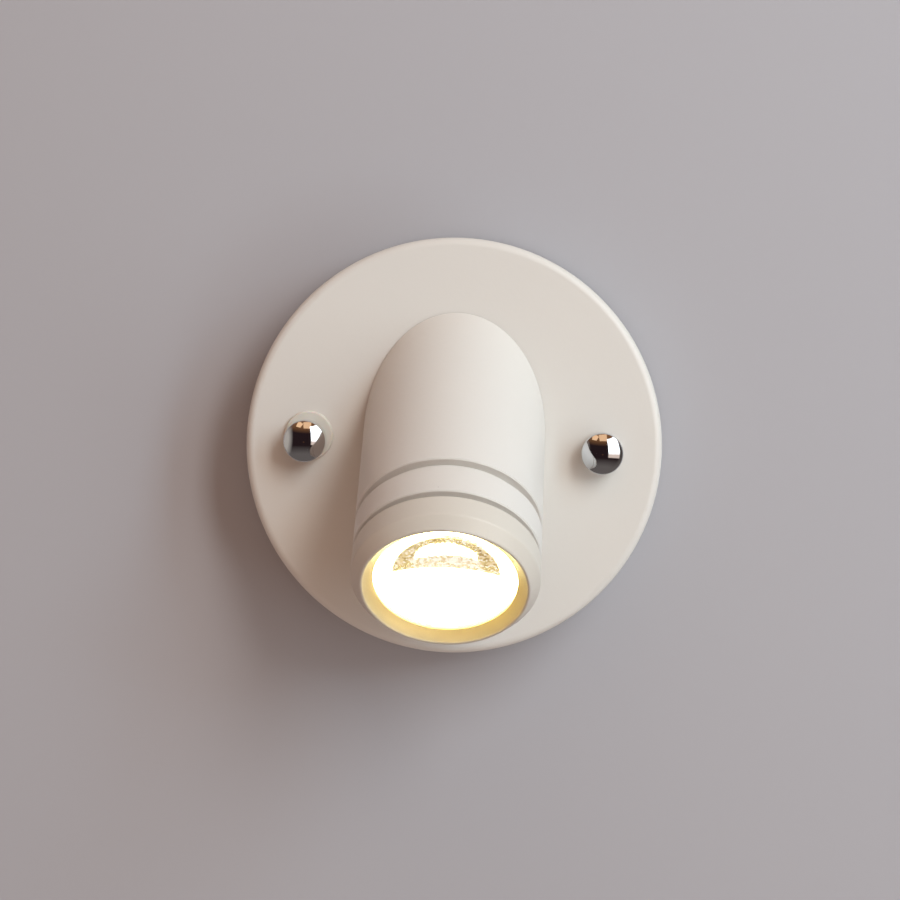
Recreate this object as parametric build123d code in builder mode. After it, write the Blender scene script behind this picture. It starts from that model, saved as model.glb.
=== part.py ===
from build123d import *
from math import asin, cos, degrees, radians, sin, sqrt
import os

os.makedirs("parts", exist_ok=True)

# A small pivoting wall spotlight, in millimetres.
# +Z is up, +X is to the right seen from the front, and the front faces -Y.
# The wall is the plane y = 0. A height w is a distance out from the wall, towards -Y.

# ---------------------------------------------------------------- driving dimensions

# Canopy: a cast cup with its rim on a foam gasket.
canopy_r = 50.0
canopy_depth = 18.5
canopy_wall = 2.4
front_t = 2.6
edge_round = 1.9
inner_round = 1.5
gasket_t = 1.5
gasket_inset = 0.4
gasket_width = 4.0
boss_r = 13.0
boss_h = 3.0
rib_count = 6
rib_h = 2.0
rib_t = 1.6

# Bracket: a joggled strip with two slots for the wall screws. Its lengths follow the studs.
stud_half = 35.5
bracket_t = 1.5
bracket_height = 20.0
bracket_past_stud = 7.5
joggle_before_stud = 4.0
joggle_run = 2.5
joggle = 3.2
slot_before_stud = 12.5
slot_length = 10.0
slot_r = 2.4
cable_r = 8.0

# Canopy screws and their cap nuts.
stud_r = 2.0
stud_hole_r = 2.3
stud_boss_r = 5.5
screw_head_r = 3.6
screw_head_h = 2.2
lock_nut_flats = 7.0
lock_nut_t = 3.2
cap_r = 5.0
cap_side = 5.3
cap_dome_r = 7.5
cap_round = 0.6
cap_bore = 6.0
stud_tip_gap = 1.0
washer_r = 5.9
washer_t = 1.0
washer_shift_x = 0.6
washer_shift_z = 1.1

# Head: a tube cut on a slant, tilted from the wall's normal by this angle. Its length runs to
# the ring's crest, before the lip is rounded.
tilt = 42.0
foot_rise = 3.0
tube_r = 21.75
head_length = 50.1
foot_gap = 0.3
floor_t = 3.7
tube_wall = 4.55
bore_shoulder = 2.2
groove_at = 30.85
groove_width = 2.4
groove_depth = 2.2
edge_break = 0.3

# Screwed ring, glass and seal.
ring_length = 8.8
seam_width = 1.55
ring_shoulder = 3.1
ring_shoulder_round = 1.0
ring_taper = 2.5
ring_lip_round = 0.5
mouth_lip = 0.6
mouth_land = 0.4
glass_recess = 2.9
glass_t = 2.0
seal_t = 1.0
neck_wall = 2.5
glass_gap = 0.3

# Light source.
holder_h = 12.8
holder_gap = 0.3
holder_flange = 4.7
flange_t = 1.2
lens_gap = 0.5
lens_h = 12.5
board_over_lens = 0.1
board_t = 1.6
pad_t = 0.4
sink_t = 5.0
emitter_side = 3.5
emitter_t = 0.8
dome_r = 1.4
board_screw_inset = 2.1
board_screw_r = 1.25
board_screw_head_r = 2.0
board_screw_head_h = 1.6
board_screw_length = 5.0

# Swivel: a hollow stem in a plastic bush, with a tabbed stop washer.
stem_r = 5.0
stem_bore_r = 3.2
stem_flat = 4.2
stem_above_floor = 1.5
stem_tail = 0.5
bush_r = 7.0
bush_flange_r = 11.0
bush_flange_t = 1.0
bush_recess = 0.2
stop_t = 1.1
stop_r = 10.0
tab_width = 5.0
tab_reach = 17.5
stop_angle = 55.0
stop_play = 1.0
post_at = 16.0
post_r = 2.0
spring_t = 0.5
spring_h = 1.0
spring_r = 9.0
swivel_nut_flats = 14.0
swivel_nut_t = 3.0
seal_at = 16.0
seal_width = 1.6
seal_depth = 1.1
seal_lift = 0.1

# Driver, terminal block and screws inside the canopy.
driver_x = 40.0
driver_z = 19.0
driver_t = 12.0
driver_gap = 1.5
driver_round = 1.5
lug_r = 3.5
lug_t = 2.0
lug_out = 3.0
block_x = 30.0
block_z = 17.0
block_t = 11.0
block_bottom = 18.0
block_base_t = 4.5
pole_pitch = 10.0
pole_x = 8.2
clamp_side = 5.0
clamp_length = 15.0
wire_hole_r = 1.5
clamp_screw_at = 4.2
clamp_screw_r = 1.2
clamp_screw_head_r = 1.7
small_screw_r = 1.25
small_head_r = 2.4
small_head_h = 1.8
inner_post_r = 3.0
earth_x = 13.0
earth_head_r = 3.5
earth_head_h = 2.4
earth_washer_r = 4.2
earth_washer_t = 0.6

# Leads.
lead_r = 1.1
lead_axis_gap = 0.3
lead_below_stem = 0.5
lead_over_bracket = 0.85
lead_inset = 1.7
lead_bend = 12.0
mains_r = 0.9
mains_out = 14.5
mains_in_block = 4.0
mains_bend_top = 8.0
mains_bend_side = 12.0

# Clearances.
fit = 0.05
thrust_gap = 0.1
back_gap = 0.5

# ---------------------------------------------------------------- sizes worked out from them

front_w = gasket_t + canopy_depth
inner_w = front_w - front_t
boss_w = inner_w - boss_h
flange_w = boss_w - bush_flange_t
stop_top_w = flange_w - thrust_gap
stop_w = stop_top_w - stop_t
spring_w = stop_w - spring_h
swivel_nut_w = spring_w - swivel_nut_t
stem_end_w = swivel_nut_w - stem_tail
foot_w = front_w + foot_gap
floor_w = foot_w + floor_t

bracket_half = stud_half + bracket_past_stud
joggle_to = stud_half - joggle_before_stud
joggle_from = joggle_to - joggle_run
slot_half = stud_half - slot_before_stud

bore_r = tube_r - tube_wall
rear_bore_r = bore_r - bore_shoulder
mouth_r = bore_r - mouth_lip
crest_r = tube_r - ring_taper
lens_r = bore_r - holder_flange
board_r = lens_r + board_over_lens
board_screw_at = board_r - board_screw_inset
lead_offset = board_r - lead_inset

ring_back = head_length - ring_length
seam_back = ring_back - seam_width
glass_front = head_length - glass_recess
glass_back = glass_front - glass_t
neck_end = glass_back - seal_t
neck_r = bore_r + neck_wall
ring_bore_r = neck_r + fit
glass_r = ring_bore_r - glass_gap
holder_top = neck_end - holder_gap
board_top = holder_top - holder_h
board_back = board_top - board_t
pad_back = board_back - pad_t
seat = pad_back - sink_t
tube_start = -2 * tube_r

# ---------------------------------------------------------------- planes, axes and helpers

tilt_cos = cos(radians(tilt))
tilt_sin = sin(radians(tilt))
tube_origin = (0, -front_w, foot_rise)
tube_dir = (0, -tilt_cos, -tilt_sin)
tube_axis = Axis(tube_origin, tube_dir)
tube_section = Plane(origin=tube_origin, x_dir=(1, 0, 0), z_dir=(0, tilt_sin, -tilt_cos))
wall_axis = Axis((0, 0, 0), (0, -1, 0))
wall_section = Plane(origin=(0, 0, 0), x_dir=(1, 0, 0), z_dir=(0, 0, -1))


def out(w, x=0.0, z=0.0):
    """Plane parallel to the wall at height w, facing away from the wall."""
    return Plane(origin=(x, -w, z), x_dir=(1, 0, 0), z_dir=(0, -1, 0))


def along(s, x=0.0, n=0.0):
    """Plane square to the tube at s along its axis, n up the slope from the axis."""
    centre = (x, -front_w - s * tilt_cos - n * tilt_sin, foot_rise - s * tilt_sin + n * tilt_cos)
    return Plane(origin=centre, x_dir=(1, 0, 0), z_dir=tube_dir)


def turn(points, section=tube_section, axis=tube_axis, mode=Mode.ADD):
    """Turn a closed profile of (radius, distance) points about the axis of its section."""
    with BuildSketch(section) as profile:
        with BuildLine():
            Polyline(*points, close=True)
        make_face()
    revolve(profile.sketch, axis=axis, mode=mode)


def ring(r_in, r_out, start, end, section=tube_section, axis=tube_axis, mode=Mode.ADD):
    """Turn a plain ring or disc between two radii and two distances."""
    turn([(r_in, start), (r_out, start), (r_out, end), (r_in, end)], section, axis, mode)


def wall_ring(r_in, r_out, start, end, mode=Mode.ADD):
    """The same about the canopy's own axis, between two heights."""
    ring(r_in, r_out, start, end, wall_section, wall_axis, mode)


def disc(plane, r, length, mode=Mode.ADD):
    """Cylinder of radius r that stands on a plane."""
    with BuildSketch(plane) as face:
        Circle(r)
    extrude(face.sketch, amount=length, mode=mode)


def block(plane, x_size, y_size, length, mode=Mode.ADD):
    """Rectangular block that stands on a plane, centred on its origin."""
    with BuildSketch(plane) as face:
        Rectangle(x_size, y_size)
    extrude(face.sketch, amount=length, mode=mode)


def hexagon(plane, flats, length, hole_r):
    """Hexagon nut with its hole, its corners broken on both faces by a turned cone."""
    corner_r = flats / sqrt(3)
    slope = (corner_r - flats / 2) / sqrt(3)
    with BuildSketch(plane) as face:
        RegularPolygon(radius=corner_r, side_count=6)
        Circle(hole_r, mode=Mode.SUBTRACT)
    prism = extrude(face.sketch, amount=length, mode=Mode.PRIVATE)
    section = Plane(origin=plane.origin, x_dir=plane.x_dir, z_dir=-plane.y_dir)
    with BuildSketch(section) as cone:
        with BuildLine():
            Polyline(
                (0, 0), (flats / 2, 0), (corner_r, slope), (corner_r, length - slope),
                (flats / 2, length), (0, length), close=True,
            )
        make_face()
    turned_blank = revolve(cone.sketch, axis=Axis(plane.origin, plane.z_dir), mode=Mode.PRIVATE)
    add(prism & turned_blank)


def pan_screw(plane, r, length, head_r, head_h):
    """Pan head screw: the shank goes down from the plane, the rounded head stands on it."""
    disc(plane, r, -length)
    section = Plane(origin=plane.origin, x_dir=plane.x_dir, z_dir=-plane.y_dir)
    with BuildSketch(section) as head:
        with BuildLine():
            Line((0, 0), (head_r, 0))
            Line((head_r, 0), (head_r, head_h / 2))
            ThreePointArc((head_r, head_h / 2), (head_r * 0.8, head_h * 0.86), (head_r * 0.4, head_h))
            Line((head_r * 0.4, head_h), (0, head_h))
            Line((0, head_h), (0, 0))
        make_face()
    revolve(head.sketch, axis=Axis(plane.origin, plane.z_dir))
    with BuildSketch(plane.offset(head_h)) as cross:
        Rectangle(head_r, head_r / 4)
        Rectangle(head_r / 4, head_r)
    extrude(cross.sketch, amount=-head_h / 2, mode=Mode.SUBTRACT)


def lead(points, radii, r):
    """Round lead along straight runs joined by tangent arcs."""
    with BuildLine() as route:
        FilletPolyline(*points, radius=radii)
    start = Plane(origin=route.line @ 0, z_dir=route.line % 0)
    with BuildSketch(start) as face:
        Circle(r)
    sweep(face.sketch, path=route.line)


def save(part, name):
    """Label one finished piece and write it to its own file."""
    part.label = name
    export_step(part, f"parts/{name}.step")


# ---------------------------------------------------------------- fixed side, from the wall outwards

# Strip steel bracket. Its ends stand off the wall to clear the heads of the canopy screws.
with BuildPart() as wall_bracket:
    with BuildSketch(Plane(origin=(0, 0, -bracket_height / 2), x_dir=(1, 0, 0), z_dir=(0, 0, 1))) as strip:
        with BuildLine():
            Polyline(
                (-bracket_half, -joggle), (-joggle_to, -joggle), (-joggle_from, 0), (joggle_from, 0),
                (joggle_to, -joggle), (bracket_half, -joggle),
                (bracket_half, -joggle - bracket_t), (joggle_to, -joggle - bracket_t),
                (joggle_from, -bracket_t), (-joggle_from, -bracket_t),
                (-joggle_to, -joggle - bracket_t), (-bracket_half, -joggle - bracket_t), close=True,
            )
        make_face()
    extrude(amount=bracket_height)
    fillet(wall_bracket.edges().filter_by(Axis.Y).group_by(Axis.X)[0], radius=bracket_height / 5)
    fillet(wall_bracket.edges().filter_by(Axis.Y).group_by(Axis.X)[-1], radius=bracket_height / 5)
    with BuildSketch(out(0)):
        Circle(cable_r)
        with Locations((-slot_half, 0), (slot_half, 0)):
            SlotOverall(slot_length, 2 * slot_r)
        with Locations((earth_x, 0), (-stud_half, 0), (stud_half, 0)):
            Circle(stud_r + fit)
    extrude(amount=joggle + bracket_t, mode=Mode.SUBTRACT)
save(wall_bracket.part, "wall_bracket")

# Two screws stand out of the bracket's ends. Their tips end inside the cap nuts.
stud_tip_w = front_w + cap_bore - stud_tip_gap
with BuildPart() as bracket_screws:
    for side in (-1, 1):
        back = Plane(origin=(side * stud_half, -joggle, 0), x_dir=(1, 0, 0), z_dir=(0, 1, 0))
        pan_screw(back, stud_r, stud_tip_w - joggle, screw_head_r, screw_head_h)
save(bracket_screws.part, "bracket_screws")

with BuildPart() as lock_nuts:
    for side in (-1, 1):
        hexagon(out(joggle + bracket_t, side * stud_half), lock_nut_flats, lock_nut_t, stud_r + fit)
save(lock_nuts.part, "lock_nuts")

# Earth point on the bracket, with the ring terminal of the earth lead under its washer.
with BuildPart() as earth_washer:
    disc(out(bracket_t + earth_washer_t, earth_x), earth_washer_r, earth_washer_t)
    disc(out(bracket_t + earth_washer_t, earth_x), stud_r + fit, earth_washer_t, Mode.SUBTRACT)
    with BuildSketch(out(bracket_t + earth_washer_t, earth_x)):
        with PolarLocations(earth_washer_r, 12):
            Circle(earth_washer_t / 2)
    extrude(amount=earth_washer_t, mode=Mode.SUBTRACT)
save(earth_washer.part, "earth_washer")

with BuildPart() as earth_screw:
    pan_screw(
        out(bracket_t + 2 * earth_washer_t, earth_x), stud_r,
        bracket_t + 2 * earth_washer_t - edge_break, earth_head_r, earth_head_h,
    )
save(earth_screw.part, "earth_screw")

block_mid_w = bracket_t + back_gap + block_t / 2 + back_gap
earth_lead_w = bracket_t + mains_r + edge_break
with BuildPart() as earth_lead:
    lead(
        [
            (earth_x, -earth_lead_w, earth_washer_r + edge_break),
            (earth_x, -earth_lead_w, bracket_height / 2),
            (earth_x - 2, -earth_lead_w - 2, block_bottom - 4.5),
            (mains_r * 4, -block_mid_w, block_bottom - 3),
            (0, -block_mid_w, block_bottom), (0, -block_mid_w, block_bottom + mains_in_block),
        ],
        [3, 3, 3, 2], mains_r,
    )
    with BuildSketch(out(bracket_t, earth_x)):
        Circle(earth_washer_r)
        with Locations((0, earth_washer_r)):
            Rectangle(2 * mains_r, 2 * edge_break + mains_r)
        Circle(stud_r + fit, mode=Mode.SUBTRACT)
    extrude(amount=earth_washer_t)
    barrel = Plane(origin=(earth_x, -earth_lead_w, earth_washer_r), z_dir=(0, 0, 1))
    disc(barrel, mains_r + edge_break, 2 * mains_r)
save(earth_lead.part, "earth_lead")

# Foam gasket between the canopy's rim and the wall.
gasket_r = canopy_r - gasket_inset
with BuildPart() as wall_gasket:
    wall_ring(gasket_r - gasket_width, gasket_r, 0, gasket_t)
save(wall_gasket.part, "wall_gasket")

# Places that the canopy's posts share with what is screwed to them.
driver_w = bracket_t + back_gap + driver_t
driver_top = -tab_reach - driver_gap
driver_mid_z = driver_top - driver_z / 2
lug_x = driver_x / 2 + lug_out
block_w = bracket_t + 2 * back_gap + block_t
block_mid_z = block_bottom + block_z / 2
post_angle = stop_angle + stop_play + degrees(asin(tab_width / 2 / post_at) + asin(post_r / post_at))

# Cast canopy: a cup with a rounded front edge, a bored boss, ribs, posts and screw bosses.
with BuildPart() as canopy:
    turn(
        [
            (0, front_w), (canopy_r, front_w), (canopy_r, gasket_t), (canopy_r - canopy_wall, gasket_t),
            (canopy_r - canopy_wall, inner_w), (0, inner_w),
        ],
        wall_section, wall_axis,
    )
    rims = canopy.edges().filter_by(GeomType.CIRCLE).group_by(Axis.Y)
    fillet(rims[0], radius=edge_round)
    fillet(rims[1], radius=inner_round)
    wall_ring(0, boss_r, boss_w, inner_w)
    rib_length = canopy_r - canopy_wall - boss_r
    with BuildSketch(out(inner_w - rib_h)):
        with PolarLocations(boss_r + rib_length / 2, rib_count, start_angle=30):
            Rectangle(rib_length + rib_t, rib_t)
    extrude(amount=rib_h)
    for side in (-1, 1):
        disc(out(inner_w - rib_h, side * stud_half), stud_boss_r, rib_h)
        disc(out(driver_w, side * lug_x, driver_mid_z), inner_post_r, inner_w - driver_w)
        disc(out(block_w, side * pole_pitch / 2, block_mid_z), inner_post_r, inner_w - block_w)
        turned = radians(side * post_angle)
        post_x = post_at * sin(turned)
        stop_post = out(stop_w - thrust_gap, post_x, -post_at * cos(turned))
        disc(stop_post, post_r, inner_w - stop_w + thrust_gap)
    disc(out(boss_w), bush_r + fit, front_w - boss_w, Mode.SUBTRACT)
    tapped_r = small_screw_r + fit
    for side in (-1, 1):
        disc(out(inner_w - rib_h, side * stud_half), stud_hole_r, front_w, Mode.SUBTRACT)
        disc(out(driver_w, side * lug_x, driver_mid_z), tapped_r, inner_w - driver_w, Mode.SUBTRACT)
        block_post = out(block_w, side * pole_pitch / 2, block_mid_z)
        disc(block_post, tapped_r, inner_w - block_w, Mode.SUBTRACT)
save(canopy.part, "canopy")

# Pale washer behind the left cap nut, pushed off centre as far as its hole lets it go.
washer_bore_r = stud_r + fit + sqrt(washer_shift_x**2 + washer_shift_z**2)
with BuildPart() as nut_washer:
    disc(out(front_w, -stud_half + washer_shift_x, washer_shift_z), washer_r, washer_t)
    fillet(nut_washer.edges().filter_by(GeomType.CIRCLE).group_by(Axis.Y)[0], radius=washer_t / 2)
    disc(out(front_w, -stud_half + washer_shift_x, washer_shift_z), washer_bore_r, washer_t, Mode.SUBTRACT)
save(nut_washer.part, "nut_washer")

# Cap nuts: a round side, a shallow dome and a blind bore. The left one sits on the washer.
cap_top = cap_side + cap_dome_r - sqrt(cap_dome_r**2 - cap_r**2)
with BuildPart() as cap_nuts:
    for side, seat_w in ((-1, front_w + washer_t), (1, front_w)):
        seat_centre = (side * stud_half, -seat_w, 0)
        with BuildSketch(Plane(origin=seat_centre, x_dir=(1, 0, 0), z_dir=(0, 0, -1))) as cap_profile:
            with BuildLine():
                Polyline((0, cap_top), (0, 0), (cap_r, 0), (cap_r, cap_side))
                RadiusArc((cap_r, cap_side), (0, cap_top), -cap_dome_r)
            make_face()
            fillet(cap_profile.vertices().group_by(Axis.X)[-1].sort_by(Axis.Y)[-1], radius=cap_round)
        revolve(cap_profile.sketch, axis=Axis(seat_centre, (0, -1, 0)))
        disc(out(seat_w, side * stud_half), stud_r + fit, cap_bore, Mode.SUBTRACT)
save(cap_nuts.part, "cap_nuts")

# Flanged bush that the swivel stem turns in.
with BuildPart() as swivel_bush:
    turn(
        [
            (stem_r + fit, flange_w), (bush_flange_r, flange_w), (bush_flange_r, boss_w), (bush_r, boss_w),
            (bush_r, front_w - bush_recess), (stem_r + fit, front_w - bush_recess),
        ],
        wall_section, wall_axis,
    )
save(swivel_bush.part, "swivel_bush")

# Potted driver with two screw lugs, on two posts of the canopy.
with BuildPart() as led_driver:
    block(out(driver_w - driver_t, 0, driver_mid_z), driver_x, driver_z, driver_t)
    fillet(led_driver.edges().filter_by(Axis.Y), radius=driver_round)
    with BuildSketch(out(driver_w - lug_t, 0, driver_mid_z)):
        with Locations((-lug_x, 0), (lug_x, 0)):
            Circle(lug_r)
        Rectangle(2 * lug_x, 2 * lug_r)
        with Locations((-lug_x, 0), (lug_x, 0)):
            Circle(small_screw_r + fit, mode=Mode.SUBTRACT)
    extrude(amount=lug_t)
    with BuildSketch(out(driver_w - driver_t, 0, driver_mid_z)):
        RectangleRounded(driver_x - 4 * driver_round, driver_z - 4 * driver_round, driver_round)
    extrude(amount=edge_break, mode=Mode.SUBTRACT)
save(led_driver.part, "led_driver")

with BuildPart() as driver_screws:
    for side in (-1, 1):
        lug_face = Plane(
            origin=(side * lug_x, -driver_w + lug_t, driver_mid_z), x_dir=(1, 0, 0), z_dir=(0, 1, 0)
        )
        pan_screw(lug_face, small_screw_r, lug_t + (inner_w - driver_w) * 0.9, small_head_r, small_head_h)
save(driver_screws.part, "driver_screws")

# Three-pole terminal block: a base strip with one housing per pole, open at both ends.
clamp_w = block_mid_w - clamp_side / 2
with BuildPart() as terminal_block:
    block(out(block_w - block_base_t, 0, block_mid_z), block_x, block_z, block_base_t)
    fillet(terminal_block.edges().filter_by(Axis.Y), radius=driver_round)
    for pole in (-1, 0, 1):
        block(out(block_w - block_t, pole * pole_pitch, block_mid_z), pole_x, block_z, block_t)
    for pole in (-1, 0, 1):
        pole_centre = pole * pole_pitch
        block(
            out(clamp_w - fit, pole_centre, block_mid_z), clamp_side + 2 * fit, clamp_length + 2 * fit,
            clamp_side + 2 * fit, Mode.SUBTRACT,
        )
        disc(
            Plane(origin=(pole_centre, -block_mid_w, block_bottom), z_dir=(0, 0, 1)),
            wire_hole_r, block_z, Mode.SUBTRACT,
        )
        for end in (-1, 1):
            disc(
                out(block_w - block_t, pole_centre, block_mid_z + end * clamp_screw_at),
                clamp_screw_head_r + fit, block_t / 2, Mode.SUBTRACT,
            )
    for side in (-1, 1):
        at = out(block_w - block_base_t, side * pole_pitch / 2, block_mid_z)
        disc(at, small_screw_r + fit, block_base_t, Mode.SUBTRACT)
        disc(
            out(block_w - block_t, side * pole_pitch / 2, block_mid_z), small_head_r + 2 * fit,
            block_t - block_base_t, Mode.SUBTRACT,
        )
save(terminal_block.part, "terminal_block")

with BuildPart() as terminal_clamps:
    for pole in (-1, 0, 1):
        block(out(clamp_w, pole * pole_pitch, block_mid_z), clamp_side, clamp_length, clamp_side)
        disc(
            Plane(origin=(pole * pole_pitch, -block_mid_w, block_bottom), z_dir=(0, 0, 1)),
            wire_hole_r, block_z, Mode.SUBTRACT,
        )
        for end in (-1, 1):
            disc(
                out(clamp_w, pole * pole_pitch, block_mid_z + end * clamp_screw_at),
                clamp_screw_r + fit, clamp_side / 2, Mode.SUBTRACT,
            )
save(terminal_clamps.part, "terminal_clamps")

with BuildPart() as terminal_screws:
    for pole in (-1, 0, 1):
        for end in (-1, 1):
            top = Plane(
                origin=(pole * pole_pitch, -clamp_w, block_mid_z + end * clamp_screw_at),
                x_dir=(1, 0, 0), z_dir=(0, 1, 0),
            )
            pan_screw(top, clamp_screw_r, clamp_side / 2 - wire_hole_r, clamp_screw_head_r, clamp_screw_r)
save(terminal_screws.part, "terminal_screws")

with BuildPart() as block_screws:
    for side in (-1, 1):
        base_face = Plane(
            origin=(side * pole_pitch / 2, -block_w + block_base_t, block_mid_z),
            x_dir=(1, 0, 0), z_dir=(0, 1, 0),
        )
        base_screw = block_base_t + (inner_w - block_w) * 0.9
        pan_screw(base_face, small_screw_r, base_screw, small_head_r, small_head_h)
save(block_screws.part, "block_screws")

# Two leads from the outer poles to the driver, one each side of the swivel nut.
mains_w = block_mid_w - mains_r
with BuildPart() as mains_leads:
    for side in (-1, 1):
        lead(
            [
                (side * pole_pitch, -block_mid_w, block_bottom + mains_in_block),
                (side * pole_pitch, -block_mid_w, block_bottom / 2 + mains_in_block),
                (side * mains_out, -mains_w, 0),
                (side * mains_out, -mains_w, driver_top),
            ],
            [mains_bend_top, mains_bend_side], mains_r,
        )
save(mains_leads.part, "mains_leads")

# Twin lead from the driver to the swivel's axis, where the turning side's lead meets it.
lead_meet_w = stem_end_w - lead_below_stem
lead_run_w = bracket_t + lead_over_bracket + lead_r
with BuildPart() as driver_lead:
    lead(
        [
            (0, -lead_meet_w + lead_axis_gap / 2, 0), (0, -lead_run_w, 0),
            (0, -lead_run_w, driver_top),
        ],
        [(lead_meet_w - lead_run_w) * 0.9], lead_r,
    )
save(driver_lead.part, "driver_lead")

# ---------------------------------------------------------------- turning side: swivel

# Hollow stem, screwed into the head's floor, with a flat for the stop washer.
with BuildPart() as swivel_stem:
    wall_ring(stem_bore_r, stem_r, stem_end_w, floor_w + stem_above_floor)
    flat_side = out(stem_end_w, 0, stem_flat + stem_r)
    block(flat_side, 2 * stem_r, 2 * stem_r, stop_top_w - stem_end_w, Mode.SUBTRACT)
save(swivel_stem.part, "swivel_stem")

# Stop washer: its tab runs between the two posts and ends the swivel.
with BuildPart() as stop_washer:
    with BuildSketch(out(stop_w)):
        Circle(stop_r)
        with Locations((0, -tab_reach / 2)):
            Rectangle(tab_width, tab_reach)
    extrude(amount=stop_t)
    fillet(stop_washer.edges().filter_by(Axis.Y).group_by(Axis.Z)[0], radius=tab_width / 5)
    with BuildSketch(out(stop_w)):
        Circle(stem_r + fit)
        with Locations((0, stem_flat + fit + stem_r)):
            Rectangle(4 * stem_r, 2 * stem_r, mode=Mode.SUBTRACT)
    extrude(amount=stop_t, mode=Mode.SUBTRACT)
save(stop_washer.part, "stop_washer")

# Conical spring washer that gives the swivel its friction.
with BuildPart() as spring_washer:
    turn(
        [
            (stem_r + fit, spring_w), (spring_r, spring_w + spring_h - spring_t),
            (spring_r, spring_w + spring_h), (stem_r + fit, spring_w + spring_t),
        ],
        wall_section, wall_axis,
    )
save(spring_washer.part, "spring_washer")

with BuildPart() as swivel_nut:
    hexagon(out(swivel_nut_w), swivel_nut_flats, swivel_nut_t, stem_r + fit)
save(swivel_nut.part, "swivel_nut")

with BuildPart() as foot_seal:
    wall_ring(seal_at - seal_width / 2, seal_at + seal_width / 2, front_w + seal_lift, foot_w + seal_depth)
save(foot_seal.part, "foot_seal")

# ---------------------------------------------------------------- turning side: head

# Core of the head's rear hollow: a bore that ends on the slanted floor.
with BuildPart() as rear_core:
    ring(0, rear_bore_r, tube_start, seat)
    split(bisect_by=out(floor_w), keep=Keep.TOP)

# Head: a tube cut on a slant at its foot, closed by a floor, with a groove and a screwed neck.
groove_back = groove_at - groove_width / 2
groove_front = groove_at + groove_width / 2
with BuildPart() as head_body:
    turn(
        [
            (0, tube_start), (tube_r, tube_start), (tube_r, groove_back - edge_break),
            (tube_r - edge_break, groove_back), (tube_r - groove_depth, groove_back),
            (tube_r - groove_depth, groove_front), (tube_r - edge_break, groove_front),
            (tube_r, groove_front + edge_break), (tube_r, seam_back - edge_break),
            (tube_r - edge_break, seam_back), (neck_r, seam_back), (neck_r, neck_end - edge_break),
            (neck_r - edge_break, neck_end), (bore_r, neck_end), (bore_r, seat), (0, seat),
        ]
    )
    split(bisect_by=out(foot_w), keep=Keep.TOP)
    add(rear_core.part, mode=Mode.SUBTRACT)
    disc(out(foot_w), stem_r + fit, floor_t, Mode.SUBTRACT)
    seal_groove = seal_width / 2 + fit
    wall_ring(seal_at - seal_groove, seal_at + seal_groove, foot_w, foot_w + seal_depth, Mode.SUBTRACT)
save(head_body.part, "head_body")

# Screwed ring: a soft shoulder, a cone up to the crest, a cone down to the glass and a plain
# bore for the neck.
with BuildPart() as bezel_ring:
    with BuildSketch(tube_section) as ring_profile:
        with BuildLine():
            Polyline(
                (mouth_r, glass_front), (ring_bore_r, glass_front), (ring_bore_r, ring_back),
                (tube_r - edge_break, ring_back), (tube_r, ring_back + edge_break),
                (tube_r, head_length - ring_shoulder), (crest_r, head_length),
                (mouth_r, glass_front + mouth_land), close=True,
            )
        make_face()
        fillet(ring_profile.vertices().sort_by(Axis.Y)[-1], radius=ring_lip_round)
        shoulder = ring_profile.vertices().group_by(Axis.X)[-1].sort_by(Axis.Y)[-1]
        fillet(shoulder, radius=ring_shoulder_round)
    revolve(axis=tube_axis)
save(bezel_ring.part, "bezel_ring")

with BuildPart() as front_glass:
    turn(
        [
            (0, glass_back), (glass_r - edge_break, glass_back), (glass_r, glass_back + edge_break),
            (glass_r, glass_front - edge_break), (glass_r - edge_break, glass_front), (0, glass_front),
        ]
    )
save(front_glass.part, "front_glass")

with BuildPart() as glass_seal:
    ring(mouth_r + edge_break, glass_r, neck_end, glass_back)
save(glass_seal.part, "glass_seal")

# Collimator lens: a curved cone with a recess for the emitter and a thin rim.
lens_top = glass_back - lens_gap
lens_back = lens_top - lens_h
lens_rim = lens_top - 2 * emitter_t
lens_waist = lens_back + lens_h * 0.42
recess_top = lens_back + lens_h / 2
with BuildPart() as tir_lens:
    with BuildSketch(tube_section):
        with BuildLine():
            Line((2 * dome_r, lens_back), (3 * dome_r, lens_back))
            ThreePointArc(
                (3 * dome_r, lens_back), (lens_r * 0.75, lens_waist), (lens_r - fit * 8, lens_rim)
            )
            Polyline(
                (lens_r - fit * 8, lens_rim), (lens_r, lens_rim), (lens_r, lens_top), (0, lens_top),
                (0, recess_top),
            )
            ThreePointArc(
                (0, recess_top), (dome_r, lens_back + lens_h * 0.48),
                (2 * dome_r, lens_back + lens_h * 0.4),
            )
            Line((2 * dome_r, lens_back + lens_h * 0.4), (2 * dome_r, lens_back))
        make_face()
    revolve(axis=tube_axis)
save(tir_lens.part, "tir_lens")

# Lens holder: a white cup round the lens, with a wide flange that hides the bore.
holder_foot_r = board_screw_at - board_screw_head_r - 2 * edge_break
holder_knee = board_top + board_screw_head_h + 2 * edge_break
holder_r = bore_r - edge_break
flange_back = holder_top - flange_t
with BuildPart() as lens_holder:
    with BuildSketch(tube_section):
        with BuildLine():
            Polyline(
                (3.4 * dome_r, lens_back), (3.4 * dome_r, board_top), (holder_foot_r, board_top),
                (holder_foot_r, holder_knee),
            )
            ThreePointArc(
                (holder_foot_r, holder_knee), (lens_r * 0.9, lens_waist),
                (lens_r + flange_t, flange_back - edge_break),
            )
            Polyline(
                (lens_r + flange_t, flange_back - edge_break), (lens_r + flange_t, flange_back),
                (holder_r, flange_back), (holder_r, holder_top), (lens_r + fit, holder_top),
                (lens_r + fit, lens_rim), (lens_r - fit * 4, lens_rim),
            )
            ThreePointArc(
                (lens_r - fit * 4, lens_rim), (lens_r * 0.775, lens_back + lens_h * 0.41),
                (3.4 * dome_r, lens_back),
            )
        make_face()
    revolve(axis=tube_axis)
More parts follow.
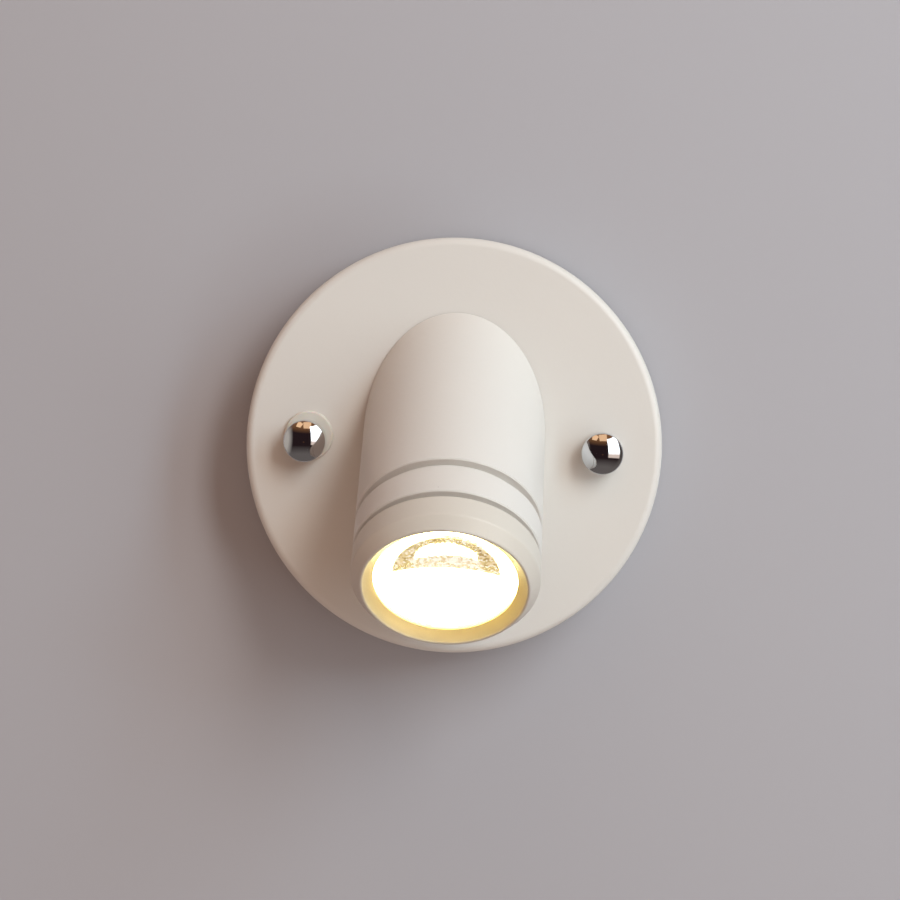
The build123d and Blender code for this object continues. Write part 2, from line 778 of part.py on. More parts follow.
save(lens_holder.part, "lens_holder")

# Round circuit board with two screw holes and a notch for the lead.
with BuildPart() as led_board:
    with BuildSketch(along(board_back)):
        Circle(board_r)
        with Locations((-board_screw_at, 0), (board_screw_at, 0)):
            Circle(board_screw_r + edge_break, mode=Mode.SUBTRACT)
        with Locations((0, lead_offset)):
            Circle(lead_r + edge_break, mode=Mode.SUBTRACT)
        with Locations((0, lead_offset + board_r / 2)):
            Rectangle(2 * (lead_r + edge_break), board_r, mode=Mode.SUBTRACT)
    extrude(amount=board_t)
save(led_board.part, "led_board")

with BuildPart() as led_emitter:
    block(along(board_top), emitter_side, emitter_side, emitter_t)
    ring(0, dome_r, board_top + emitter_t, board_top + emitter_t + dome_r)
    fillet(led_emitter.edges().filter_by(GeomType.CIRCLE).sort_by(Axis.Y)[0], radius=dome_r * 0.9)
save(led_emitter.part, "led_emitter")

with BuildPart() as board_screws:
    for side in (-1, 1):
        pan_screw(
            along(board_top, side * board_screw_at), board_screw_r, board_screw_length, board_screw_head_r,
            board_screw_head_h,
        )
save(board_screws.part, "board_screws")

with BuildPart() as thermal_pad:
    ring(0, lead_offset - 2 * lead_r, pad_back, board_back)
save(thermal_pad.part, "thermal_pad")

# Heat spreader: a disc on the bore's shoulder, with tapped holes and a way for the lead.
with BuildPart() as heat_spreader:
    ring(0, bore_r - fit, seat, pad_back)
    tapped_depth = board_screw_length + fit - board_t - pad_t
    for side in (-1, 1):
        tapped = along(pad_back, side * board_screw_at)
        disc(tapped, board_screw_r + fit, -tapped_depth, Mode.SUBTRACT)
    disc(along(seat, 0, lead_offset), lead_r + edge_break, sink_t, Mode.SUBTRACT)
save(heat_spreader.part, "heat_spreader")

# Twin lead from the swivel's axis through the stem to the board.
corner_s = (foot_rise + lead_offset * tilt_cos) / tilt_sin
with BuildPart() as led_lead:
    lead(
        [
            (0, -lead_meet_w - lead_axis_gap / 2, 0), tuple(along(corner_s, 0, lead_offset).origin),
            tuple(along(board_top, 0, lead_offset).origin),
        ],
        [lead_bend], lead_r,
    )
save(led_lead.part, "led_lead")
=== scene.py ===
import math

import bpy
from mathutils import Matrix, Vector

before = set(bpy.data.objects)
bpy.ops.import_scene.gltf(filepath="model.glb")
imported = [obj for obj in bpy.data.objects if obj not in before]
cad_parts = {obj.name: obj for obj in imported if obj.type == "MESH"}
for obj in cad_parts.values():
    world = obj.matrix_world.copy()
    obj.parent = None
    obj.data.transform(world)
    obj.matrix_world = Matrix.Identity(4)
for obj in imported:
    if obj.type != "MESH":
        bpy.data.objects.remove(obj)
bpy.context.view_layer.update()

# ---------------------------------------------------------------- Camera
# The photograph looks at the lamp from 3.3 degrees above it and one degree to its right,
# from 0.66 m in front of the canopy, with the picture turned by 2.4 degrees.

canopy_front = Vector((0, -0.020, 0))
camera_azimuth = math.radians(1.05)
camera_elevation = math.radians(3.28)
camera_roll = math.radians(2.42)
camera_distance = 0.6593
image_width = 900
focal_in_pixels = 2748
shift_in_pixels = (-3.8, -3.7)

away = Vector((math.sin(camera_azimuth), -math.cos(camera_azimuth), math.tan(camera_elevation)))
away.normalize()
level_right = Vector((0, 0, 1)).cross(away).normalized()
level_up = away.cross(level_right)
camera_right = level_right * math.cos(camera_roll) + level_up * math.sin(camera_roll)
camera_up = level_up * math.cos(camera_roll) - level_right * math.sin(camera_roll)

camera_data = bpy.data.cameras.new("photo_camera")
camera_data.sensor_width = 36
camera_data.lens = focal_in_pixels / image_width * camera_data.sensor_width
camera_data.shift_x = shift_in_pixels[0] / image_width
camera_data.shift_y = shift_in_pixels[1] / image_width
camera_data.clip_start = 0.02
camera = bpy.data.objects.new("photo_camera", camera_data)
camera.matrix_world = Matrix.Translation(canopy_front + away * camera_distance) @ Matrix(
    (camera_right, camera_up, away)
).transposed().to_4x4()
bpy.context.scene.collection.objects.link(camera)
bpy.context.scene.camera = camera

# ---------------------------------------------------------------- Wall bracket, screws and nuts
# A punched and joggled strip of mild steel, with the plain cross head screws, nuts and washers
# that hold the lamp together. All of them are bright zinc plated before assembly.


def linear(code):
    """The linear colour of an sRGB hex value."""
    parts = [int(code[i:i + 2], 16) / 255 for i in (1, 3, 5)]
    return [c / 12.92 if c <= 0.04045 else ((c + 0.055) / 1.055) ** 2.4 for c in parts] + [1.0]


def node(tree, kind, inputs=(), **settings):
    """One node with its own settings. An input is a number, a colour or another node's output."""
    made = tree.nodes.new(kind)
    for name, value in settings.items():
        setattr(made, name, value)
    for name, value in dict(inputs).items():
        if isinstance(value, bpy.types.NodeSocket):
            tree.links.new(value, made.inputs[name])
        else:
            made.inputs[name].default_value = value
    return made


def finish(name, **constants):
    """A material with its shader's constants set, its tree, its shader and places in metres."""
    material = bpy.data.materials.new(name)
    material.use_nodes = True
    tree = material.node_tree
    shader = tree.nodes["Principled BSDF"]
    for socket, value in constants.items():
        shader.inputs[socket.replace("_", " ")].default_value = value
    return material, tree, shader, node(tree, "ShaderNodeTexCoord").outputs["Object"]


def noise(tree, place, size, detail):
    """The level of a noise whose features are about size millimetres across."""
    made = node(
        tree, "ShaderNodeTexNoise", {"Vector": place, "Scale": 1000 / size, "Detail": detail},
    )
    return made.outputs["Fac"]


def tones(tree, amount, first, second):
    """A colour between two others, each an sRGB hex value or a node's output."""
    ends = [linear(end) if isinstance(end, str) else end for end in (first, second)]
    mixed = node(tree, "ShaderNodeMix", {0: amount, 6: ends[0], 7: ends[1]}, data_type="RGBA")
    return mixed.outputs[2]


def spread(tree, value, low, high, start=0.0, full=1.0):
    """A value that runs from start to full, turned into one that runs from low to high."""
    made = node(
        tree, "ShaderNodeMapRange",
        {"Value": value, "From Min": start, "From Max": full, "To Min": low, "To Max": high},
    )
    return made.outputs[0]


def edge_wear(tree, radius, start, full, most):
    """How worn a place is: none on a flat face, and up to most on an edge of this radius."""
    rounded = node(tree, "ShaderNodeBevel", {"Radius": radius}, samples=6)
    true_normal = node(tree, "ShaderNodeNewGeometry").outputs["Normal"]
    flatness = node(
        tree, "ShaderNodeVectorMath", {0: rounded.outputs[0], 1: true_normal},
        operation="DOT_PRODUCT",
    )
    return spread(tree, flatness.outputs["Value"], 0.0, most, start, full)


def cover(tree, shader, colour, roughness, height, depth):
    """Link a surface's colour, its roughness if it varies, and a relief of so many metres."""
    tree.links.new(colour, shader.inputs["Base Color"])
    if roughness is not None:
        tree.links.new(roughness, shader.inputs["Roughness"])
    relief = node(tree, "ShaderNodeBump", {"Height": height, "Distance": depth})
    tree.links.new(relief.outputs[0], shader.inputs["Normal"])
    return relief


def dress(material, *names):
    """Give CAD pieces whose shape is right their real finish."""
    for name in names:
        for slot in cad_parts[name].material_slots:
            slot.material = material


zinc, tree, shader, place = finish("bright_zinc_plated_steel", Metallic=1.0)
# The clear passivation over the zinc drifts between blue and straw over about 9 mm.
tint = tones(tree, noise(tree, place, 9, 3), "#A9B0BA", "#C3BEB0")
# Cold rolling leaves a grain along the strip, 0.15 mm across and about 2 mm long.
rolled = node(tree, "ShaderNodeMapping", {"Vector": place, "Scale": (500, 6000, 6000)})
grain = node(tree, "ShaderNodeTexNoise", {"Vector": rolled.outputs[0], "Scale": 1.0, "Detail": 4})
grain = grain.outputs["Fac"]
# Handling polishes the plating bright along the edges.
plated = tones(tree, edge_wear(tree, 0.0004, 0.99, 0.90, 0.6), tint, "#D6D8DA")
cover(tree, shader, plated, spread(tree, grain, 0.26, 0.50), grain, 0.000006)
dress(
    zinc, "wall_bracket", "bracket_screws", "lock_nuts", "earth_washer", "driver_screws",
    "block_screws", "terminal_screws", "swivel_stem", "stop_washer", "spring_washer",
    "swivel_nut", "board_screws",
)

# ---------------------------------------------------------------- Earth screw and terminal clamps
# The earth screw and the clamps inside the terminal block are turned from free cutting brass.
# They are left bare, so they tarnish a little and keep their turning lines.

wave_bands = 20  # bands that the wave texture draws over one unit at a scale of 1

brass, tree, shader, place = finish("turned_brass", Metallic=1.0)
tarnish = noise(tree, place, 4, 4)
# Tool lines 0.12 mm apart, seen as a faint satin.
lines = node(
    tree, "ShaderNodeTexWave",
    {"Vector": place, "Scale": 1000 / 0.12 / wave_bands, "Distortion": 0.6},
    bands_direction="Y",
)
cover(
    tree, shader, tones(tree, tarnish, "#D8B56C", "#AF8845"), spread(tree, tarnish, 0.22, 0.42),
    lines.outputs["Fac"], 0.000004,
)
dress(brass, "earth_screw", "terminal_clamps")

# ---------------------------------------------------------------- Leads
# Stranded copper in soft PVC: a green and yellow earth lead, a brown and a blue mains lead,
# and a dark grey twin lead from the driver through the swivel to the light source.

for lead_name, lead_nodes, first, second in (
    ("earth_lead_pvc", ("earth_lead",), "#3F9A3B", "#E3C928"),
    ("mains_lead_pvc", ("mains_leads",), "#6E3F26", "#2C5FA8"),
    ("twin_lead_pvc", ("driver_lead", "led_lead"), "#2E2E31", "#39393C"),
):
    pvc, tree, shader, place = finish(lead_name, IOR=1.53)
    sheen = noise(tree, place, 1.5, 3)
    share = sheen
    if lead_name == "earth_lead_pvc":
        # The yellow runs down both flanks of the green lead.
        facing = node(tree, "ShaderNodeTexCoord").outputs["Normal"]
        flank = node(tree, "ShaderNodeSeparateXYZ", {0: facing}).outputs["X"]
        flank = node(tree, "ShaderNodeMath", {0: flank}, operation="ABSOLUTE").outputs[0]
        share = spread(tree, flank, 0.0, 1.0, 0.66, 0.72)
    elif lead_name == "mains_lead_pvc":
        # Brown on the left pole, blue on the right pole.
        side = node(tree, "ShaderNodeSeparateXYZ", {0: place}).outputs["X"]
        share = node(tree, "ShaderNodeMath", {0: side, 1: 0.0}, operation="GREATER_THAN").outputs[0]
    cover(
        tree, shader, tones(tree, share, first, second), spread(tree, sheen, 0.30, 0.50),
        sheen, 0.00003,
    )
    dress(pvc, *lead_nodes)

# ---------------------------------------------------------------- Wall gasket
# A ring of closed cell EPDM foam, die cut and stuck to the canopy's rim.
# Its cut cells give a dry, dark, pitted surface.

foam, tree, shader, place = finish("die_cut_epdm_foam", IOR=1.5, Specular_IOR_Level=0.25)
# Cells 0.35 mm across.
cells = node(tree, "ShaderNodeTexVoronoi", {"Vector": place, "Scale": 1000 / 0.35})
cells = cells.outputs["Distance"]
cover(
    tree, shader, tones(tree, cells, "#2B2B2D", "#48484A"), spread(tree, cells, 0.80, 0.98),
    cells, 0.00006,
)
dress(foam, "wall_gasket")

# ---------------------------------------------------------------- Canopy, head and screwed ring
# Die cast and turned aluminium in warm off-white powder coat, cured to a satin finish.
# The coat flows a little at the edges, and carries a very fine orange peel and a few specks.

tube_tilt = math.radians(42)
tube_foot = (0, -0.020, 0.003)  # where the tube's axis meets the canopy's front


def tube_axes(tree, place, origin):
    """Places from an origin on the tube's axis: X across, Y up the slope, Z along the tube."""
    made = node(
        tree, "ShaderNodeMapping",
        {"Vector": place, "Location": origin, "Rotation": (math.radians(90) + tube_tilt, 0, 0)},
        vector_type="TEXTURE",
    )
    return made.outputs[0]


def reach_from(tree, point, middle):
    """How far a point is from a middle, both seen along the tube."""
    gap = node(tree, "ShaderNodeVectorMath", {0: point, 1: (*middle, 0)}, operation="SUBTRACT")
    flat = node(tree, "ShaderNodeVectorMath", {0: gap.outputs[0], 1: (1, 1, 0)}, operation="MULTIPLY")
    length = node(tree, "ShaderNodeVectorMath", {0: flat.outputs[0]}, operation="LENGTH")
    return length.outputs["Value"]


def math_node(tree, operation, first, second=0.0, **settings):
    """The result of one sum on two values."""
    made = node(tree, "ShaderNodeMath", {0: first, 1: second}, operation=operation, **settings)
    return made.outputs[0]


coat, tree, shader, place = finish("satin_white_powder_coat", IOR=1.5)
# The coat's thickness, and with it the shade, drifts over about 25 mm.
shade = tones(tree, noise(tree, place, 25, 3), "#DAD4CD", "#D6D1CB")
# Specks 0.2 mm across, one to about 12 mm, like the few that the photograph shows.
speck_cells = node(tree, "ShaderNodeTexVoronoi", {"Vector": place, "Scale": 1000 / 12})
speck = spread(tree, speck_cells.outputs["Distance"], 0.0, 0.7, 0.012, 0.004)
specked = tones(tree, speck, shade, "#8F857B")
# The coat pulls thin on sharp edges and wears a touch paler there.
worn = tones(tree, edge_wear(tree, 0.0005, 0.985, 0.88, 0.5), specked, "#E4E0DA")
# The coat on the screwed ring is a little darker and yellower than on the rest. The ring's inner cone
# is a warm yellow: a painted glow that stands in for the lens's warm light on it. The lens's light
# also reaches the cone for real through the glass.
on_tube = tube_axes(tree, place, tube_foot)
off_axis = reach_from(tree, on_tube, (0, 0))
along_tube = node(tree, "ShaderNodeSeparateXYZ", {0: on_tube}).outputs["Z"]
dulled = tones(tree, spread(tree, along_tube, 0.0, 1.0, 0.0411, 0.0413), worn, "#CFC7BC")
in_mouth = spread(tree, off_axis, 0.0, 1.0, 0.0194, 0.0186)
past_glass = spread(tree, along_tube, 0.0, 1.0, 0.0468, 0.0471)
# Painted glow on the inner cone, deepest next to the glass.
painted_cone_glow = tones(tree, spread(tree, off_axis, 0.0, 1.0, 0.0166, 0.0190), "#BDA676", "#B5A687")
coat_and_cone_glow = tones(tree, math_node(tree, "MULTIPLY", in_mouth, past_glass), dulled, painted_cone_glow)
# Orange peel of 1.1 mm over powder grain of 0.25 mm.
powder = noise(tree, place, 0.25, 2)
fine = node(tree, "ShaderNodeBump", {"Height": powder, "Distance": 0.000004})
peel = cover(
    tree, shader, coat_and_cone_glow, spread(tree, powder, 0.36, 0.50), noise(tree, place, 1.1, 1), 0.000014,
)
tree.links.new(fine.outputs[0], peel.inputs["Normal"])
dress(coat, "canopy", "head_body", "bezel_ring")

# ---------------------------------------------------------------- Washer behind the left cap nut
# A moulded washer of natural nylon, pale and slightly translucent.

nylon, tree, shader, place = finish(
    "natural_nylon", IOR=1.53, Subsurface_Weight=0.25, Subsurface_Scale=0.0008,
)
cloud = noise(tree, place, 2.5, 3)
cover(
    tree, shader, tones(tree, cloud, "#DAD3CA", "#D0C9BE"), spread(tree, cloud, 0.38, 0.52),
    cloud, 0.00002,
)
dress(nylon, "nut_washer")

# ---------------------------------------------------------------- Cap nuts
# Domed nuts turned from brass, polished and chrome plated to a mirror. They screw on to the
# bracket's screws and hold the canopy to the wall.

chrome, tree, shader, place = finish("polished_chrome_plate", Metallic=1.0)
# Fine wiping marks about 0.3 mm apart, and a breath of haze over 3 mm.
haze = noise(tree, place, 3, 3)
wiped = node(
    tree, "ShaderNodeMapping",
    {"Vector": place, "Rotation": (0.4, 0.3, 0.8), "Scale": (3000, 600, 3000)},
)
marks = node(tree, "ShaderNodeTexNoise", {"Vector": wiped.outputs[0], "Scale": 1.0, "Detail": 2})
cover(
    tree, shader, tones(tree, haze, "#D9DADC", "#CFD0D3"), spread(tree, haze, 0.03, 0.09),
    marks.outputs["Fac"], 0.0000015,
)
dress(chrome, "cap_nuts")

# ---------------------------------------------------------------- Swivel bush
# A flanged bush moulded from white acetal, pressed into the canopy's boss.
# Acetal has a waxy sheen and a faint depth to its white.

acetal, tree, shader, place = finish(
    "moulded_acetal", IOR=1.48, Subsurface_Weight=0.15, Subsurface_Scale=0.0006,
)
flow = noise(tree, place, 3, 3)
cover(
    tree, shader, tones(tree, flow, "#EAE7E0", "#DFDBD2"), spread(tree, flow, 0.30, 0.42),
    flow, 0.00001,
)
dress(acetal, "swivel_bush")

# ---------------------------------------------------------------- Driver
# A potted constant current driver in a case of black ABS, moulded in a spark eroded tool
# that leaves an even matt grain. Two lugs hold it to the canopy's posts.

abs_case, tree, shader, place = finish("spark_eroded_black_abs", IOR=1.53)
# Grain 0.3 mm across.
eroded = node(
    tree, "ShaderNodeTexVoronoi", {"Vector": place, "Scale": 1000 / 0.3}, feature="SMOOTH_F1",
)
eroded = eroded.outputs["Distance"]
dust = noise(tree, place, 8, 4)
cover(
    tree, shader, tones(tree, dust, "#232427", "#34353A"), spread(tree, eroded, 0.46, 0.66),
    eroded, 0.00002,
)
dress(abs_case, "led_driver")

# ---------------------------------------------------------------- Terminal block
# A three pole block moulded from natural polyamide, a warm white that lets a little light in.

polyamide, tree, shader, place = finish(
    "natural_polyamide", IOR=1.53, Subsurface_Weight=0.2, Subsurface_Scale=0.001,
)
cloud = noise(tree, place, 5, 4)
grain = noise(tree, place, 0.4, 2)
cover(
    tree, shader, tones(tree, cloud, "#E6E1D3", "#D6D0BF"), spread(tree, grain, 0.34, 0.52),
    grain, 0.00001,
)
dress(polyamide, "terminal_block")

# ---------------------------------------------------------------- Foot seal
# A moulded ring of pale grey silicone rubber, matt and a little dusty, between head and canopy.

silicone, tree, shader, place = finish(
    "pale_silicone_rubber", IOR=1.43, Subsurface_Weight=0.2, Subsurface_Scale=0.0006,
)
dust = noise(tree, place, 1.2, 4)
cover(
    tree, shader, tones(tree, dust, "#C9C7C0", "#B4B1A9"), spread(tree, dust, 0.50, 0.72),
    dust, 0.00001,
)
dress(silicone, "foot_seal")

# ---------------------------------------------------------------- Glass seal
# A flat ring of clear silicone under the glass. Its emission is a painted pale glow, standing in for
# the lens's light that fills it.

clear_silicone, tree, shader, place = finish(
    "lit_clear_silicone", IOR=1.41, Emission_Strength=1.0,
)
bubbles = noise(tree, place, 0.8, 3)
cover(
    tree, shader, tones(tree, bubbles, "#E4DDCB", "#DAD2BE"), spread(tree, bubbles, 0.34, 0.52),
    bubbles, 0.00001,
)
# Painted glow: the seal itself gives no light.
tree.links.new(tones(tree, bubbles, "#FFF9E6", "#FFF2D2"), shader.inputs["Emission Color"])
dress(clear_silicone, "glass_seal")

# ---------------------------------------------------------------- Heat spreader
# A disc of aluminium faced on a lathe, which carries the board and passes its heat to the head.

turned, tree, shader, place = finish("faced_aluminium", Metallic=1.0)
# Facing lines 0.2 mm apart, square to the tube's axis, drawn as fine rings of changing sheen.
faced = node(tree, "ShaderNodeMapping", {"Vector": place, "Rotation": (-tube_tilt, 0, 0)})
rings = node(
    tree, "ShaderNodeTexWave",
    {"Vector": faced.outputs[0], "Scale": 1000 / 0.2 / wave_bands, "Distortion": 0.4},
    wave_type="RINGS", rings_direction="Y",
)
rings = rings.outputs["Fac"]
oxide = noise(tree, place, 5, 3)
cover(
    tree, shader, tones(tree, oxide, "#D2D3D5", "#BFC0C3"), spread(tree, rings, 0.24, 0.40),
    rings, 0.000004,
)
dress(turned, "heat_spreader")

# ---------------------------------------------------------------- Thermal pad
# A soft grey pad of filled silicone between the spreader and the board.

pad, tree, shader, place = finish("filled_silicone_pad", IOR=1.43)
filler = noise(tree, place, 0.3, 3)
cover(
    tree, shader, tones(tree, filler, "#A3A7AB", "#8E9296"), spread(tree, filler, 0.62, 0.82),
    filler, 0.00002,
)
dress(pad, "thermal_pad")

# ---------------------------------------------------------------- Circuit board
# A round aluminium core board under white solder resist, with its copper tracks showing
# as low ridges under the resist.

resist, tree, shader, place = finish("white_solder_resist", IOR=1.5)
# Tracks laid 4 mm apart.
tracks = node(tree, "ShaderNodeTexBrick", {"Vector": place, "Scale": 1000 / 4, "Mortar Size": 0.15})
tracks = tracks.outputs["Fac"]
cover(
    tree, shader, tones(tree, tracks, "#F1F0EC", "#E3E0D6"),
    spread(tree, noise(tree, place, 0.8, 2), 0.24, 0.40), tracks, 0.00003,
)
dress(resist, "led_board")

# ---------------------------------------------------------------- Emitter
# A white LED: blue chips under yellow phosphor in a clear silicone dome. It is switched on.

phosphor, tree, shader, place = finish(
    "lit_phosphor", IOR=1.43, Roughness=0.3, Emission_Strength=8.0,
)
grit = noise(tree, place, 0.2, 2)
colour = tones(tree, grit, "#F6D24A", "#EAB92E")
cover(tree, shader, colour, None, grit, 0.00001)
tree.links.new(colour, shader.inputs["Emission Color"])
dress(phosphor, "led_emitter")

# ---------------------------------------------------------------- Lens holder and lens
# A holder of white polycarbonate grips a collimator lens of clear acrylic. Both are flooded
# by the LED, so they burn out to white, apart from a golden half ring of pebbled facets.

# Light that leaves the lens: white to the eye, and golden where it grazes the ring.
glow_level = 25.0
glow_colour = "#FFEDA6"

cup, tree, shader, place = finish(
    "flooded_white_polycarbonate", IOR=1.58, Emission_Strength=glow_level,
)
moulded = noise(tree, place, 1.0, 3)
cover(
    tree, shader, tones(tree, moulded, "#F4F2EC", "#EAE7DF"), spread(tree, moulded, 0.22, 0.34),
    moulded, 0.00001,
)
# The holder is no lamp: this emission is a painted glow, standing in for the LED's light scattered in
# its white plastic.
tree.links.new(tones(tree, moulded, glow_colour, "#FFE3A0"), shader.inputs["Emission Color"])
dress(cup, "lens_holder")

acrylic, tree, shader, place = finish(
    "lit_collimator_acrylic", IOR=1.49, Roughness=0.12, Emission_Strength=1.0,
)
# Places on the lens's face, which lies 44.7 mm along the tube from its foot.
lens_at = 0.0447
lens_face = (
    0, tube_foot[1] - lens_at * math.cos(tube_tilt), tube_foot[2] - lens_at * math.sin(tube_tilt),
)
on_face = tube_axes(tree, place, lens_face)
# The facets shift the inner edges by about half a millimetre.
shift = spread(tree, noise(tree, place, 0.7, 2), -0.0012, 0.0012)
outside = {}
for mask, middle, radius, softness, ragged in (
    ("lens_edge", (0.0002, 0.0001), 0.0126, 0.0002, False),
    ("inner_circle", (0.0002, 0.0019), 0.0085, 0.0005, True),
    ("flake_top", (0.0006, -0.0112), 0.0190, 0.0012, True),
    ("lower_chord", (0.0004, -0.0332), 0.0356, 0.0003, False),
):
    reach = reach_from(tree, on_face, middle)
    if ragged:
        reach = math_node(tree, "ADD", reach, shift)
    outside[mask] = spread(tree, reach, 0.0, 1.0, radius - softness, radius + softness)
# The golden half ring lies inside the lens's edge and above the chord. A white field stays open
# in it, inside the inner circle and above the flakes.
white_field = math_node(
    tree, "SUBTRACT", outside["flake_top"], outside["inner_circle"], use_clamp=True,
)
golden = math_node(
    tree, "SUBTRACT", outside["lower_chord"], outside["lens_edge"], use_clamp=True,
)
golden = math_node(tree, "SUBTRACT", golden, white_field, use_clamp=True)
# Facets 0.55 mm across glow one by one, from dark gold to white: painted glints of the lens's light,
# fixed on its face.
facets = node(tree, "ShaderNodeTexVoronoi", {"Vector": place, "Scale": 1000 / 0.55})
facet_tone = node(tree, "ShaderNodeSeparateColor", {0: facets.outputs["Color"]}).outputs[0]
# Those between the half ring's feet are paler, so they start further up the scale.
paler = spread(tree, outside["inner_circle"], 0.42, 0.0)
gold = node(tree, "ShaderNodeValToRGB", {"Fac": math_node(tree, "ADD", facet_tone, paler)})
gold.color_ramp.elements[0].color = linear("#AC8440")
gold.color_ramp.elements[1].color = linear("#FFF6EE")
for position, code in ((0.35, "#DDBE7C"), (0.75, "#EED4B4")):
    gold.color_ramp.elements.new(position).color = linear(code)
bright_white = node(
    tree, "ShaderNodeVectorMath", {0: linear(glow_colour)[:3], 1: (glow_level,) * 3},
    operation="MULTIPLY",
)
light = node(
    tree, "ShaderNodeMix", {0: golden, 6: bright_white.outputs[0], 7: gold.outputs[0]},
    data_type="RGBA", clamp_result=False,
)
tree.links.new(light.outputs[2], shader.inputs["Emission Color"])
# The golden facets get a dark base colour: painted shade, standing in for the shaded side of the
# holder seen through the clear acrylic.
cover(
    tree, shader, tones(tree, golden, "#F3EFDF", "#5C5140"), None,
    facets.outputs["Distance"], 0.00008,
)
dress(acrylic, "tir_lens")

# ---------------------------------------------------------------- Front glass
# A disc of toughened float glass with ground edges, held by the screwed ring.
# It is clear and flat, with the slight green of float glass.

float_glass, tree, shader, place = finish(
    "toughened_float_glass", IOR=1.52, Transmission_Weight=1.0,
)
film = noise(tree, place, 6, 3)
cover(
    tree, shader, tones(tree, film, "#FAFDFB", "#F2F8F4"), spread(tree, film, 0.0, 0.03),
    film, 0.000004,
)
dress(float_glass, "front_glass")
# The pane throws no shadow, so the lens's light falls through it on to the ring's cone.
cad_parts["front_glass"].visible_shadow = False

# ---------------------------------------------------------------- Wall and light
# A plain pale wall stands behind the lamp, open where the canopy covers it, so that a view from
# behind looks into the lamp. A paned window to the upper right lights it, as in the photograph.

wall_colour = "#ADAAAE"
wall_half_width = 2.5
hole_radius = 0.0494  # just inside the gasket's outer edge
hole_sides = 96

points = []
faces = []
for k in range(hole_sides):
    turn = 2 * math.pi * k / hole_sides
    spoke = Vector((math.cos(turn), 0, math.sin(turn)))
    points += [spoke * hole_radius, spoke * wall_half_width / max(abs(spoke.x), abs(spoke.z))]
    following = (k + 1) % hole_sides
    faces.append((2 * k, 2 * following, 2 * following + 1, 2 * k + 1))
wall_mesh = bpy.data.meshes.new("wall")
wall_mesh.from_pydata(points, [], faces)
wall = bpy.data.objects.new("wall", wall_mesh)
wall.location.y = 0.0002
bpy.context.scene.collection.objects.link(wall)
wall_mesh.update()
if wall_mesh.polygons[0].normal.y > 0:
    wall_mesh.flip_normals()

# The wall is seen from the front only.
plaster, tree, shader, place = finish("plain_painted_wall", Roughness=0.9)
shader.inputs["Base Color"].default_value = linear(wall_colour)
behind = node(tree, "ShaderNodeNewGeometry").outputs["Backfacing"]
seen = node(tree, "ShaderNodeLightPath").outputs["Is Camera Ray"]
clear = node(tree, "ShaderNodeBsdfTransparent")
mixed = node(
    tree, "ShaderNodeMixShader",
    {0: math_node(tree, "MULTIPLY", behind, seen), 1: shader.outputs[0], 2: clear.outputs[0]},
)
tree.links.new(mixed.outputs[0], tree.nodes["Material Output"].inputs["Surface"])
wall_mesh.materials.append(plaster)

for lamp_name, way, distance, width, height, level, lamp_colour in (
    ("window_left_pane", (0.50, -0.87, 0.55), 1.1, 0.24, 0.72, 0.42, "#FDFFFC"),
    ("window_right_pane", (0.77, -0.65, 0.60), 1.1, 0.20, 0.74, 0.42, "#CFEFFF"),
    ("window_low_pane", (0.77, -0.64, -0.09), 1.1, 0.23, 1.00, 0.29, "#DBF5FF"),
    ("beam_on_the_floor", (0.10, -0.60, -0.80), 1.0, 1.00, 1.00, 0.075, "#FFEBCF"),
    ("ceiling_lamp_left", (-0.37, -0.43, 0.82), 1.2, 0.36, 0.36, 0.028, "#FFD5A9"),
    ("ceiling_lamp_right", (0.05, -0.52, 0.85), 1.2, 0.52, 0.50, 0.050, "#FFD5A9"),
    ("light_from_behind", (0.0, 1.0, 0.25), 0.9, 0.8, 0.8, 0.8, "#FFFFFF"),
):
    lamp_data = bpy.data.lights.new(lamp_name, "AREA")
    lamp_data.shape = "RECTANGLE"
    lamp_data.size = width
    lamp_data.size_y = height
    # A level of 1 lights a surface that faces the lamp so that its colour renders as written.
    lamp_data.energy = math.pi ** 2 * distance ** 2 * level
    lamp_data.color = linear(lamp_colour)[:3]
    lamp = bpy.data.objects.new(lamp_name, lamp_data)
    direction = Vector(way).normalized()
    lamp.location = canopy_front + direction * distance
    lamp.rotation_euler = direction.to_track_quat("Z", "Y").to_euler()
    lamp.visible_camera = False
    # Chrome shows the window and the lit floor as the room's own fields, further down.
    lamp.visible_glossy = lamp_name.startswith("ceiling")
    bpy.context.scene.collection.objects.link(lamp)

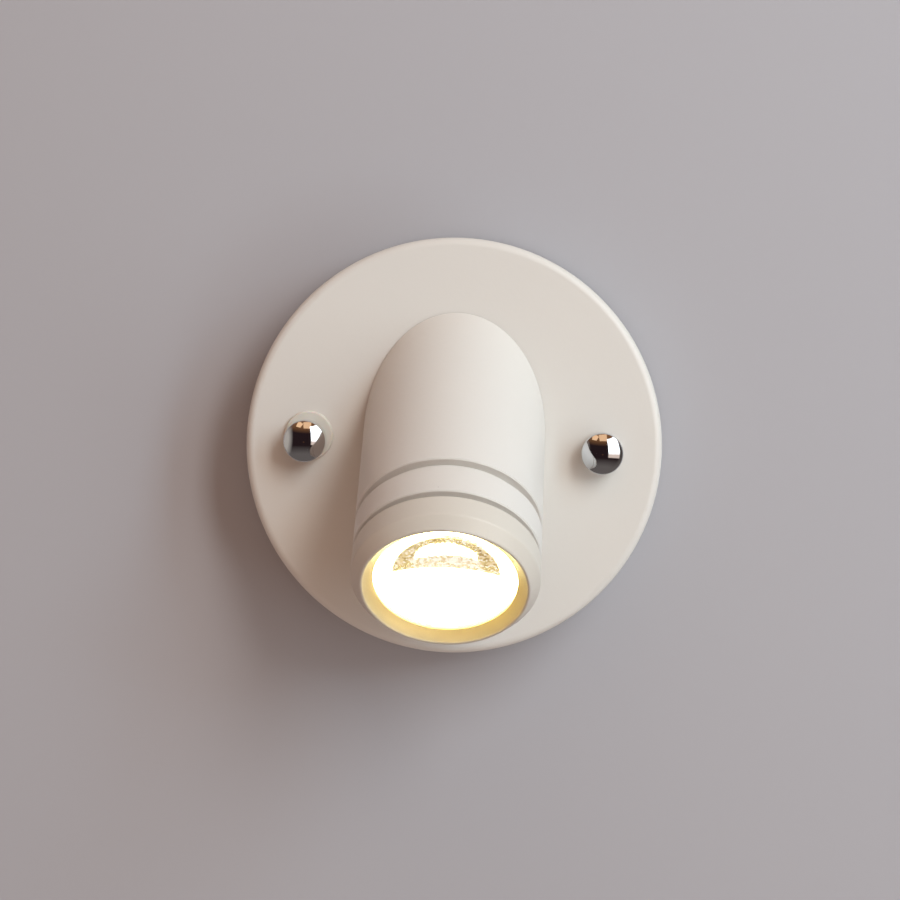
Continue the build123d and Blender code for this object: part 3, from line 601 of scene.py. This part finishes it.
# The room, as chrome shows it: dark behind the viewer, dull at the sides and below, pale to the
# left and warm under the ceiling lamps. The window is one bright field there, peach at its foot.
room = bpy.data.worlds.new("room")
room.use_nodes = True
bpy.context.scene.world = room
tree = room.node_tree
heading = node(tree, "ShaderNodeTexCoord").outputs["Generated"]
heading = node(tree, "ShaderNodeSeparateXYZ", {0: heading}).outputs
mirrored = linear("#8C857F")
for part, start, full, tone in (
    ("Y", 0.10, -0.45, "#2A1E20"),
    ("Z", -0.30, -0.75, "#6C6562"),
    ("Z", 0.45, 0.80, "#8A5F3E"),
    ("X", -0.70, -0.90, "#C4BBB2"),
):
    mirrored = tones(tree, spread(tree, heading[part], 0.0, 1.0, start, full), mirrored, tone)

window_azimuth = math.radians(46)
window_sides = (math.radians(24), math.radians(21))  # where it starts and where it is full
window_middle = 0.28  # the height of the window's middle on a sphere of radius 1
window_ends = (0.54, 0.50)
peach_foot = (-0.06, 0.16)

azimuth = math_node(tree, "ARCTAN2", heading["X"], math_node(tree, "MULTIPLY", heading["Y"], -1.0))
beside = math_node(tree, "SUBTRACT", azimuth, window_azimuth)
in_width = spread(tree, math_node(tree, "ABSOLUTE", beside), 0.0, 1.0, *window_sides)
above = math_node(tree, "SUBTRACT", heading["Z"], window_middle)
in_height = spread(tree, math_node(tree, "ABSOLUTE", above), 0.0, 1.0, *window_ends)
sky = spread(tree, heading["Z"], 0.0, 1.0, *peach_foot)
window_light = node(
    tree, "ShaderNodeMix", {0: sky, 6: (0.95, 0.76, 0.66, 1), 7: (3.4, 3.6, 3.7, 1)},
    data_type="RGBA", clamp_result=False,
)
mirrored = node(
    tree, "ShaderNodeMix",
    {0: math_node(tree, "MULTIPLY", in_width, in_height), 6: mirrored, 7: window_light.outputs[2]},
    data_type="RGBA", clamp_result=False,
)
rays = node(tree, "ShaderNodeLightPath").outputs
room_fill = (0.375, 0.265, 0.22, 1)
room_light = tones(tree, rays["Is Glossy Ray"], room_fill, mirrored.outputs[2])
straight = math_node(tree, "MAXIMUM", rays["Is Camera Ray"], rays["Is Transmission Ray"])
background = tree.nodes["Background"]
tree.links.new(tones(tree, straight, room_light, wall_colour), background.inputs["Color"])
background.inputs["Strength"].default_value = 1.0

bpy.context.scene.view_settings.view_transform = "Standard"
